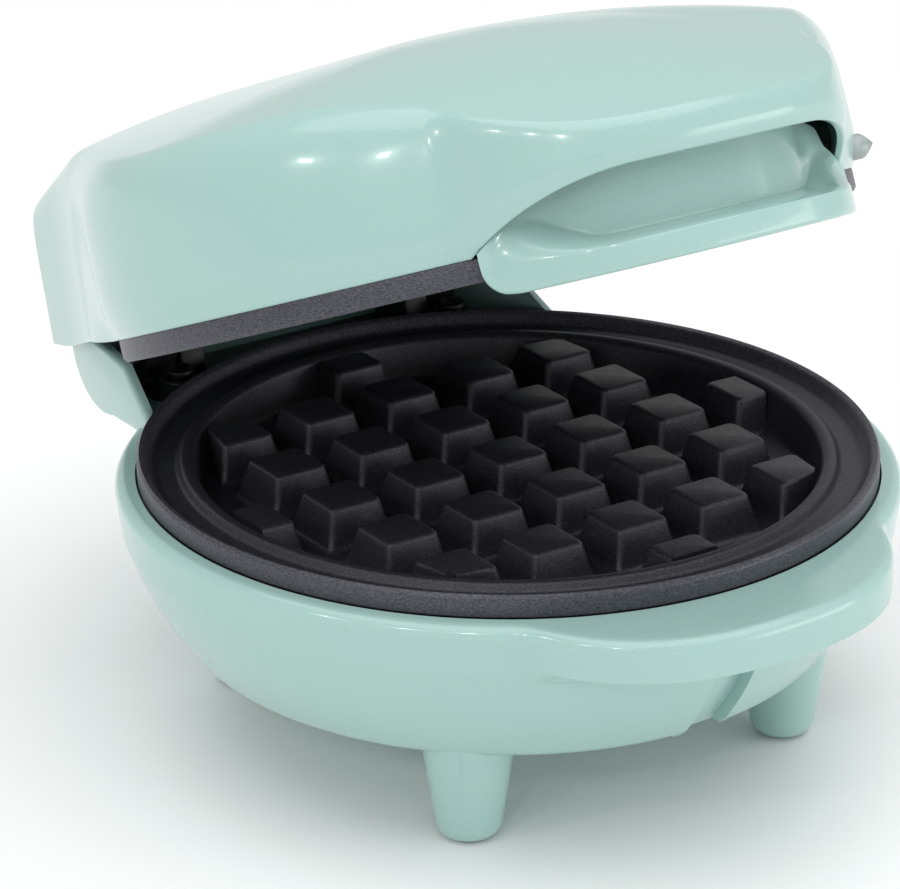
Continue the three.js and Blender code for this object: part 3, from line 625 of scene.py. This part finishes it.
def base_wall(bearing, z):
    """The bowl with its front lobe, a shelf whose side ends at LIP_Z."""
    top = base_plan(bearing)
    share = ramp((top - BASE_RADIUS) / (LOBE_CENTRE + LOBE_HALF_LENGTH - BASE_RADIUS), 0, 0.35)
    side = top + (bowl_radius(np.maximum(z, LIP_Z)) - BASE_RADIUS) * (1 - share)
    return mix(side, bowl_radius(z), np.clip((LIP_Z - z) / LIP_FALL, 0, 1))


def bowl():
    """From the opening out over the rim, down the wall and back inside."""
    b = spaced_bearings(base_plan, 720)
    rim = base_plan(b)
    floor_top = FLOOR_Z + WALL
    radii, heights = [], []

    def add(r, z):
        radii.append(r * np.ones_like(b))
        heights.append(z * np.ones_like(b))

    add(OPENING_RADIUS, FLANGE_Z)
    for t in (0.25, 0.5, 0.75):
        add(mix(OPENING_RADIUS, rim - RIM_ROUND, t), FLANGE_Z)
    for a in np.radians(np.linspace(90, 0, 10)):
        add(rim - RIM_ROUND + RIM_ROUND * math.cos(a), FLANGE_Z - RIM_ROUND + RIM_ROUND * math.sin(a))
    # Rows lie closer where the lobe's side ends.
    levels = [np.linspace(-8.2, -13.2, 7), [-13.7, -14.0, -14.3, -14.8], np.linspace(-16, -18, 4),
              [-18.4, -18.6, -19.0], np.linspace(-19.8, WALL_FOOT_Z, 24)]
    for z in np.concatenate(levels):
        add(base_wall(b, z), z)
    foot = base_wall(b, WALL_FOOT_Z)
    for t in np.linspace(0.15, 1, 8):
        inward = 3.4 * t + 0.6 * (foot - FLOOR_RADIUS) * t * t
        add(foot - inward, mix(WALL_FOOT_Z, FLOOR_Z, 1 - (1 - t) ** 2))
    add(COVER_RADIUS + 0.6, FLOOR_Z)
    add(COVER_RADIUS, FLOOR_Z + 0.5)
    add(COVER_RADIUS, FLOOR_Z + COVER_RECESS)
    add(COVER_HOLE_RADIUS, FLOOR_Z + COVER_RECESS)
    add(COVER_HOLE_RADIUS, floor_top + COVER_RECESS)
    add(COVER_RADIUS + 2, floor_top + COVER_RECESS)
    add(COVER_RADIUS + 3, floor_top)
    for z in (floor_top, INNER_FOOT_Z):
        add(base_wall(b, z) - WALL - 0.6, z)
    add(bowl_radius(LIP_Z - LIP_FALL) - WALL - 0.4, LIP_Z - 3)
    add(rim - WALL, LIP_Z + 2)
    add(rim - WALL, FLANGE_Z - WALL)
    add(OPENING_RADIUS, FLANGE_Z - WALL)
    return swept("base_casing", np.stack(radii, 1), np.stack(heights, 1), b, sharp=34)


def leg(x, y):
    """A round leg that widens upwards, with a pocket for its pad."""
    slope = 3 / 21
    top = FLOOR_Z + 2
    foot = 6.9
    wide = foot + slope * (top - LEG_FOOT_Z)
    pocket, pocket_z = 3.3, LEG_FOOT_Z + 1.8
    profile = [(0, pocket_z), (pocket, pocket_z), (pocket, LEG_FOOT_Z), (foot - 0.1, LEG_FOOT_Z), (wide, top),
               (0, top)]
    return at(lathe("leg", rounded(profile, {3: 3.4}, 9), 96), x, y, 0)


def riser(inset, top_z, name, bevel=0.0):
    """The hinge housing behind the bowl, or the hollow inset into it; it narrows towards the rear."""
    outline = [(52 + inset, FLANGE_Z - 1.5), (69.6, FLANGE_Z - 2.9 + inset)]
    outline += arc(RISER_Y, RISER_Z, RISER_HALF_LENGTH - inset, RISER_HALF_HEIGHT - inset, -118, 0, 30)
    outline += [(RISER_Y + RISER_HALF_LENGTH - inset, top_z - 1), (HINGE_Y + 5, top_z), (74, top_z)]
    obj = side_plate(name, outline, -1, 1)
    for vertex in obj.data.vertices:
        share = (vertex.co.y - RISER_FRONT_Y) / (RISER_REAR_Y - RISER_FRONT_Y)
        vertex.co.x *= mix(RISER_FRONT_HALF_WIDTH, RISER_REAR_HALF_WIDTH, share) - inset
    return bevelled(obj, bevel, 40, 4) if bevel else obj


def notch_body(name, half_width, outer_depth, inner_depth, levels):
    """A slice of the bowl's wall at the front, between two depths below its surface."""
    b = np.radians(np.linspace(-12, 12, 49))
    levels = np.array(levels)
    ring = np.concatenate([bowl_radius(levels) - outer_depth, (bowl_radius(levels) - inner_depth)[::-1]])
    heights = np.concatenate([levels, levels[::-1]])
    body = swept(name, np.tile(ring, (len(b), 1)), np.tile(heights, (len(b), 1)), b, full=False)
    return boolean(body, "INTERSECT", box("limits", (-half_width, half_width), (-130, 0), (-60, 0)))


def riser_block():
    """The riser without what would reach into the bowl."""
    under_lip = LIP_Z - LIP_FALL
    skin = WALL + 0.4
    block = riser(0, RISER_TOP_Z, "riser", bevel=1.4)
    well = [(0, INNER_FOOT_Z), (OPENING_RADIUS, INNER_FOOT_Z), (OPENING_RADIUS, 20), (0, 20)]
    boolean(block, "DIFFERENCE", lathe("well", well, 240))
    b = spaced_bearings(base_plan, 360)
    centre, rim = 0 * b, base_plan(b) - WALL
    radii = [centre, base_wall(b, WALL_FOOT_Z + 0.5) - skin, base_wall(b, INNER_FOOT_Z) - skin,
             base_wall(b, under_lip) - skin, rim, rim, centre]
    levels = [WALL_FOOT_Z - 0.1, WALL_FOOT_Z - 0.1, INNER_FOOT_Z, under_lip, LIP_Z, FLANGE_Z - WALL,
              FLANGE_Z - WALL]
    return boolean(block, "DIFFERENCE", swept("core", np.stack(radii, 1), np.tile(levels, (len(b), 1)), b))


def cut_notch(casing):
    """A closed pocket in the wall forms the notch under the front lobe."""
    top = LIP_Z - LIP_FALL - 0.4
    down = list(np.linspace(-37, top + WALL, 20))
    plug = notch_body("plug", NOTCH_HALF_WIDTH + 2, 0.5, NOTCH_DEPTH + WALL, [FLOOR_Z + 0.1] + down)
    boolean(casing, "UNION", plug)
    down = list(np.linspace(-37, top, 20))
    notch = notch_body("notch", NOTCH_HALF_WIDTH, -20, NOTCH_DEPTH, [FLOOR_Z - 3, FLOOR_Z] + down)
    boolean(casing, "DIFFERENCE", notch)


def base_casing():
    casing = bowl()
    boolean(casing, "UNION", merged("legs", *[leg(x, y) for x in (-LEG_X, LEG_X) for y in (-LEG_Y, LEG_Y)]))
    boolean(casing, "UNION", riser_block())
    room = DECK_HALF_WIDTH + 0.3
    hollow = riser(WALL, 30, "hollow")
    deck_room = box("deck_room", (-room, room), (DECK_FRONT_Y, HINGE_Y), (DECK_BOTTOM_Z - 0.3, 20))
    slot = box("slot", (-44, 44), (96, 120), (HINGE_Z, 30))
    gland_hole = moved(lathe("gland_hole", [(0, -20), (5.9, -20), (5.9, 20), (0, 20)], 64),
                       Matrix.Translation((GLAND_X, 80, GLAND_Z)) @ TURN_X)
    boolean(casing, "DIFFERENCE", hollow, deck_room, slot, gland_hole)
    cut_notch(casing)
    return casing


placed(base_casing(), MINT, "base_shell")


def bottom_cover():
    """A flat cover with a raised rim round a sunk middle."""
    r = COVER_RADIUS - 0.4
    seat, middle, inner = FLOOR_Z + 1.5, FLOOR_Z + COVER_RECESS, FLOOR_Z + 3.6
    profile = [(0, middle), (31, middle), (31, FLOOR_Z), (r, FLOOR_Z), (r, seat), (36, seat), (34, inner),
               (0, inner)]
    return lathe("underside_cover", rounded(profile, {1: 0.8, 2: 0.8, 3: 0.6}), 160)


placed(bottom_cover(), MINT, "bottom_cover")


# ---- Cooking plates ----
def peg(cx, cy):
    """One peg of the grid, on a small fillet and with softened edges."""
    foot, top = PEG_HALF_FOOT, PEG_HALF_TOP
    floor_z = -CAVITY_DEPTH
    top_z = floor_z + PEG_HEIGHT
    low_z, high_z = floor_z + 1.4, top_z - 1
    # Each row is a half width, a height and a corner radius.
    profile = [(foot + 1.4, floor_z - 0.05, 0.3), (foot + 0.7, floor_z + 0.2, 0.6),
               (foot + 0.25, floor_z + 0.7, 1.0), (foot, low_z, 1.3)]
    profile += [(mix(foot, top, t), mix(low_z, high_z, t), 1.5) for t in (0.33, 0.66, 1.0)]
    profile += [(top - 0.15, top_z - 0.5, 1.5), (top - 0.5, top_z - 0.15, 1.5), (top - 1, top_z, 1.4)]
    corner = np.radians(np.linspace(0, 90, 7))
    rows = []
    for half, z, radius in profile:
        ring = []
        for quarter in range(4):
            x = (half - radius) * (1, -1, -1, 1)[quarter]
            y = (half - radius) * (1, 1, -1, -1)[quarter]
            angles = corner + quarter * np.pi / 2
            ring += [(cx + x + radius * math.cos(a), cy + y + radius * math.sin(a)) for a in angles]
        limit = CAVITY_RADIUS - 1.8 + (z - floor_z) * 0.05
        for px, py in ring:
            scale = min(1.0, limit / math.hypot(px, py))
            rows.append((px * scale, py * scale, z))
    columns = 4 * len(corner)
    count = len(profile)
    faces = grid_faces(count, columns, wrap_rows=False).tolist()
    faces += [list(range(columns)), list(range((count - 1) * columns, count * columns))]
    return piece("peg", rows, faces)


def plate(name, on_lid):
    """A round plate with a groove in its rim and the grid of pegs in its well; the upper one is flipped."""
    outline = [(0, -CAVITY_DEPTH), (CAVITY_RADIUS - 2, -CAVITY_DEPTH), (CAVITY_RADIUS, -2.2), (70.6, -1.5),
               (72.2, -1.5), (73.4, -3.4), (78.4, -3.4), (80.2, -0.3), (81.4, 0), (PLATE_RADIUS, -0.8),
               (PLATE_RADIUS, -PLATE_BAND), (79, -PLATE_BAND - 0.2), (78.4, -7.4), (73.5, -7.4),
               (72, PLATE_BACK_Z), (0, PLATE_BACK_Z)]
    cuts = {1: 1.8, 2: 0.8, 4: 0.7, 5: 0.8, 6: 1.6, 7: 0.7, 9: 0.35, 10: 0.4, 12: 0.6, 14: 0.8}
    disc = lathe("disc", rounded(outline, cuts, 4), 240, on_lid, sharp=35)
    lines = [i * PEG_PITCH for i in range(-3, 4)]
    pegs = [peg(x, y) for x in lines for y in lines if math.hypot(x, y) < CAVITY_RADIUS - 2.3]
    obj = merged(name, disc, *pegs)
    coat_band(obj)
    return moved(obj, FLIP) if on_lid else obj


def coat_band(obj):
    """The plate's outer rim gets the brushed coating."""
    obj.data.materials.append(COATING)
    obj.data.materials.append(BAND)
    for polygon in obj.data.polygons:
        c = polygon.center
        if math.hypot(c.x, c.y) > PLATE_RADIUS - 3.4 and c.z > -PLATE_BAND - 0.3:
            polygon.material_index = 1


for side, on_lid in (("lower", False), ("upper", True)):
    placed(plate(f"{side}_grid_plate", on_lid), None, f"{side}_waffle_plate")


# ---- Screws, pads, pins, gland and lamps ----
def screw(name, head_radius, head_height, shank, length, on_lid=False):
    """A pan-head screw pointing up, its head's underside at the origin, with a crossed drive."""
    profile = [(0, -head_height), (head_radius, -head_height), (head_radius, 0), (shank, 0), (shank, length),
               (0, length)]
    body = lathe(name, rounded(profile, {1: 0.9, 4: 0.6}), 48, on_lid)
    half = head_radius / 2
    for x, y in ((half, 0.4), (0.4, half)):
        boolean(body, "DIFFERENCE", box("drive", (-x, x), (-y, y), (-head_height - 1, -head_height + 0.9)))
    return body


def cover_fasteners():
    for i, angle in enumerate((90, 210, 330)):
        a = math.radians(angle)
        made = at(screw(f"cover_fastener_{i + 1}", 3.2, 1.8, 1.5, 5), SCREW_CIRCLE * math.cos(a),
                  SCREW_CIRCLE * math.sin(a), FLOOR_Z - 0.3)
        placed(made, STEEL, f"cover_screw_{i + 1}")


def foot_pads():
    bottom, top = LEG_FOOT_Z - 0.4, LEG_FOOT_Z + 1.5
    profile = [(0, bottom), (2.7, bottom), (3, LEG_FOOT_Z), (3, top), (0, top)]
    for along, y in (("front", -LEG_Y), ("rear", LEG_Y)):
        for across, x in (("left", -LEG_X), ("right", LEG_X)):
            made = at(lathe(f"rubber_pad_{along}_{across}", profile, 64), x, y, 0)
            placed(made, RUBBER, f"foot_pad_{along}_{across}")


def hinge_pin(name, side):
    """A pin whose shank runs through the ear and the arm, with a thin head outside the arm."""
    profile = [(0, 28.6), (3, 28.6), (3, 43.6), (4.4, 43.6), (4.4, 45.2), (0, 45.2)]
    made = lathe(f"axle_pin_{name}", rounded(profile, {1: 0.4, 4: 0.4}), 64)
    turn = Matrix.Rotation(0 if side > 0 else math.pi, 4, "Z") @ TURN_Y
    placed(moved(made, Matrix.Translation((0, HINGE_Y, HINGE_Z)) @ turn), STEEL,
           f"hinge_pin_{name}")


def frame_fastener(name, side):
    """A screw set head up in its boss."""
    made = screw(f"frame_fastener_{name}", 3.4, 2, 1.6, 5.8)
    place = Matrix.Translation((side * FRAME_SCREW_X, FRAME_SCREW_Y, -1.3)) @ Matrix.Rotation(math.pi, 4, "X")
    placed(moved(made, place), DARK_STEEL, f"frame_screw_{name}")


def cord_gland():
    profile = [(3.5, -88), (5.6, -88), (8, -86.6), (8, -82.6), (5.6, -82.6), (5.6, -68), (3.5, -68)]
    return moved(lathe("cord_gland", rounded(profile, {1: 0.7, 2: 0.6, 3: 0.5}), 96),
                 Matrix.Translation((GLAND_X, 0, GLAND_Z)) @ TURN_X)


def indicator(name, angle):
    """A lens on the lid's right flank, with its lamp behind it."""
    a = math.radians(angle)
    turn = Matrix.Rotation(a, 4, "Z") @ TURN_X
    x, y = LID_RADIUS * math.sin(a), -LID_RADIUS * math.cos(a)
    dome = [(0, -2.6), (LENS_RADIUS, -2.6), (LENS_RADIUS, 0.4)]
    dome += [(LENS_RADIUS * (1 - t ** 1.5), 0.4 + 3.0 * t ** 0.9) for t in np.linspace(0.08, 0.96, 12)]
    dome.append((0, 3.4))
    lamp = [(0, -9), (1.5, -9), (1.5, -5.8), (0.9, -4.9), (0, -4.9)]
    made = lathe(f"{name}_light_lens", dome, 64, True, 50)
    placed(moved(made, Matrix.Translation((x, y, LENS_Z)) @ turn), LENS, f"{name}_lens")
    made = lathe(f"{name}_light_bulb", rounded(lamp, {3: 0.3}), 32, True)
    placed(moved(made, Matrix.Translation((x, y, LAMP_Z)) @ turn), LENS, f"{name}_lamp")


cover_fasteners()
foot_pads()
for name, side in (("left", -1), ("right", 1)):
    hinge_pin(name, side)
    frame_fastener(name, side)
placed(cord_gland(), BLACK, "cable_gland")
placed(box("mains_terminals", (-14, 14), (52, 64), (-38, -28), 0.6), CERAMIC, "terminal_block")
indicator("power", 50)
indicator("ready", 76)


# ---- Black inner frames ----
def spans(side, span):
    """A stretch of X on one side of the middle."""
    return span if side > 0 else (-span[1], -span[0])


def pin_bore():
    return moved(lathe("bore", [(0, -50), (PIN_BORE, -50), (PIN_BORE, 50), (0, 50)], 48),
                 Matrix.Translation((0, HINGE_Y, HINGE_Z)) @ TURN_Y)


def base_frame():
    """A ring under the plate's rim, with a deck behind it that carries the hinge ears and screw bosses."""
    section = [(75, -9.2), (82.1, -9.2), (82.1, -5.4), (79.4, -5.4), (79.4, -7.8), (75, -7.8)]
    ring = lathe("inner_frame_of_base", rounded(section, {2: 0.4, 3: 0.4}), 240)
    deck = box("deck", (-DECK_HALF_WIDTH, DECK_HALF_WIDTH), (DECK_FRONT_Y, DECK_REAR_Y),
               (DECK_BOTTOM_Z, DECK_TOP_Z), 0.3)
    boolean(deck, "DIFFERENCE", lathe("disc", [(0, -20), (80, -20), (80, 5), (0, 5)], 240))
    boolean(ring, "UNION", deck)
    for side in (-1, 1):
        outline = [(HINGE_Y - 9, -7), *arc(HINGE_Y, HINGE_Z, KNUCKLE, KNUCKLE, 180, 0, 28), (HINGE_Y + 6, -7)]
        boolean(ring, "UNION", side_plate("ear", outline, *spans(side, EAR), bevel=0.5, angle=40))
        boss = [(0, -7), (5.2, -7), (4.6, -6.2), (4.6, -1.6), (0, -1.6)]
        boss_body = lathe("boss", rounded(boss, {3: 0.5}), 64)
        boolean(ring, "UNION", at(boss_body, side * FRAME_SCREW_X, FRAME_SCREW_Y, 0))
        hole = lathe("hole", [(0, -12), (2, -12), (2, 0), (0, 0)], 32)
        boolean(ring, "DIFFERENCE", at(hole, side * FRAME_SCREW_X, FRAME_SCREW_Y, 0))
    return boolean(ring, "DIFFERENCE", pin_bore())


def lid_frame():
    """A ring over the plate's rim, with the two hinge arms."""
    ring = lathe("inner_frame_of_lid", [(75, 8.1), (80.9, 8.1), (80.9, 9.4), (75, 9.4)], 240, True)
    for side in (-1, 1):
        outline = [(62, 7), (79, 7), (HINGE_Y - 6.2, HINGE_Z - 3.2)]
        outline += arc(HINGE_Y, HINGE_Z, KNUCKLE, KNUCKLE, -130, 62, 32)
        outline += [(84, 11.5), (79, 13.5), (62, 12)]
        arm = side_plate("arm", outline, *spans(side, ARM), bevel=0.6, angle=20)
        boolean(arm, "DIFFERENCE", lathe("trim", [(0, 0), (80, 0), (80, 30), (0, 30)], 240))
        boolean(ring, "UNION", arm)
    return boolean(ring, "DIFFERENCE", pin_bore())


placed(base_frame(), BLACK, "base_inner_frame")
placed(lid_frame(), BLACK, "lid_inner_frame")


# ---- Heating parts ----
def element(name, on_lid):
    """A tube along most of a ring, its two ends led out towards the rear."""
    bend = np.radians(np.linspace(107, 433, 120))
    path = [(-TERMINAL_X, y) for y in np.linspace(76, 60, 12)]
    path += [(ELEMENT_RADIUS * math.cos(a), ELEMENT_RADIUS * math.sin(a)) for a in bend]
    path += [(TERMINAL_X, y) for y in np.linspace(60, 76, 12)]
    line = np.array(path)
    for _ in range(30):
        line[1:-1] = (line[:-2] + 2 * line[1:-1] + line[2:]) / 4
    along = np.gradient(line, axis=0)
    along /= np.linalg.norm(along, axis=1)[:, None]
    across = np.stack([-along[:, 1], along[:, 0]], 1)
    columns = 20
    turn = np.linspace(0, 2 * np.pi, columns, endpoint=False)
    rings = line[:, None, :] + ELEMENT_TUBE * np.cos(turn)[None, :, None] * across[:, None, :]
    heights = np.broadcast_to(ELEMENT_Z + ELEMENT_TUBE * np.sin(turn), rings.shape[:2])
    points = np.concatenate([rings, heights[:, :, None]], 2).reshape(-1, 3)
    rows = len(line)
    faces = grid_faces(rows, columns, wrap_rows=False).tolist()
    faces += [list(range(columns)), list(range((rows - 1) * columns, rows * columns))]
    return piece(name, points, faces, on_lid, 50)


def reflector(name, on_lid):
    """A dish behind the element, cut for its ends and for the thermostat."""
    z = REFLECTOR_Z
    profile = [(2.6, z), (57, z), (61, -15.6), (63.6, -15.6), (63.6, -14.6), (60.4, -14.6), (56.4, z + 1),
               (2.6, z + 1)]
    dish = lathe(name, rounded(profile, {1: 1.5, 2: 1, 5: 1, 6: 1.5}), 160, on_lid)
    boolean(dish, "DIFFERENCE", box("slot", (-15, 15), (50, 80), (z + 1.6, -10)))
    hole = at(lathe("hole", [(0, z - 1), (5, z - 1), (5, z + 2), (0, z + 2)], 48), 0, THERMOSTAT_Y, 0)
    return boolean(dish, "DIFFERENCE", hole)


def thermostat(name, on_lid):
    top, step, bottom = PLATE_BACK_Z - 0.3, REFLECTOR_Z + 2.6, REFLECTOR_Z - 3
    profile = [(0, top), (8, top), (8, step), (4.4, step), (4.4, bottom), (0, bottom)]
    return at(lathe(name, rounded(profile, {1: 0.5, 2: 0.4, 4: 0.4}), 64, on_lid), 0, THERMOSTAT_Y, 0)


def terminal(name, x, on_lid):
    return box(name, (x - 2.6, x + 2.6), (76.4, 80.2), (ELEMENT_Z - 0.4, ELEMENT_Z + 0.4), 0.1, on_lid)


def heater(side, on_lid):
    """The heating parts behind one plate, drawn under the lower one and flipped for the upper one."""
    turn = FLIP if on_lid else Matrix.Identity(4)
    tube = element(f"{side}_tube_element", on_lid)
    placed(moved(tube, turn), STEEL, f"{side}_heating_element")
    dish = reflector(f"{side}_dish", on_lid)
    placed(moved(dish, turn), ALUMINIUM, f"{side}_reflector")
    fastener = at(screw(f"{side}_dish_fastener", 4.4, 2.4, 2, 12, on_lid), 0, 0, REFLECTOR_Z - 0.3)
    placed(moved(fastener, turn), STEEL, f"{side}_reflector_screw")
    switch = thermostat(f"{side}_heat_switch", on_lid)
    placed(moved(switch, turn), CERAMIC, f"{side}_thermostat")
    for name, x in (("left", -TERMINAL_X), ("right", TERMINAL_X)):
        tab = terminal(f"{side}_tab_{name}", x, on_lid)
        placed(moved(tab, turn), STEEL, f"{side}_terminal_{name}")


heater("lower", False)
heater("upper", True)


# ---- Camera, floor and light ----
def away(azimuth, elevation):
    """The direction from the object to a place round it; azimuth 0 is the front, positive towards +X."""
    a, e = math.radians(azimuth), math.radians(elevation)
    return Vector((math.sin(a) * math.cos(e), -math.cos(a) * math.cos(e), math.sin(e)))


def aimed(obj, direction, distance):
    """Links an object and sets it at a distance, facing the working frame's origin."""
    bpy.context.scene.collection.objects.link(obj)
    obj.location = ORIGIN + distance * direction
    obj.rotation_euler = direction.to_track_quat("Z", "Y").to_euler()
    return obj


def main_camera():
    data = bpy.data.cameras.new("camera")
    data.sensor_width = 36
    data.lens = 162.9
    data.shift_x = -0.06478
    data.shift_y = -0.00467
    data.clip_start = 0.05
    return aimed(bpy.data.objects.new("camera", data), away(-35, 22.65), 0.9)


def pale_floor():
    bpy.ops.mesh.primitive_plane_add(size=6, location=(0, 0, 0))
    floor = bpy.context.object
    floor.name = "floor"
    paper = new_material("pale_floor", (0.93, 0.93, 0.93), 0.6)
    bumped(paper, noise(paper, 60, 2), 0.02, 0.001)
    floor.data.materials.append(paper)
    return floor


def area_light(name, azimuth, elevation, distance, size, power):
    data = bpy.data.lights.new(name, "AREA")
    data.shape = "RECTANGLE"
    data.size, data.size_y = size
    data.energy = power
    aimed(bpy.data.objects.new(name, data), away(azimuth, elevation), distance)


def white_world():
    world = bpy.data.worlds.new("studio")
    world.use_nodes = True
    world.node_tree.nodes["Background"].inputs["Color"].default_value = (1, 1, 1, 1)
    world.node_tree.nodes["Background"].inputs["Strength"].default_value = 0.6
    return world


bpy.context.scene.camera = main_camera()
pale_floor()
area_light("ceiling", 0, 86, 2.2, (3.2, 3.2), 42)
area_light("card", 40, 4, 1.2, (0.8, 0.5), 3.4)
for azimuth, elevation, width in ((-87, 27, 0.1), (-64, 29, 0.06), (-46, 30, 0.06)):
    area_light(f"softbox_{-azimuth}", azimuth, elevation, 1.2, (width, 0.045), 0.7)
bpy.context.scene.world = white_world()
bpy.context.scene.view_settings.view_transform = "Standard"
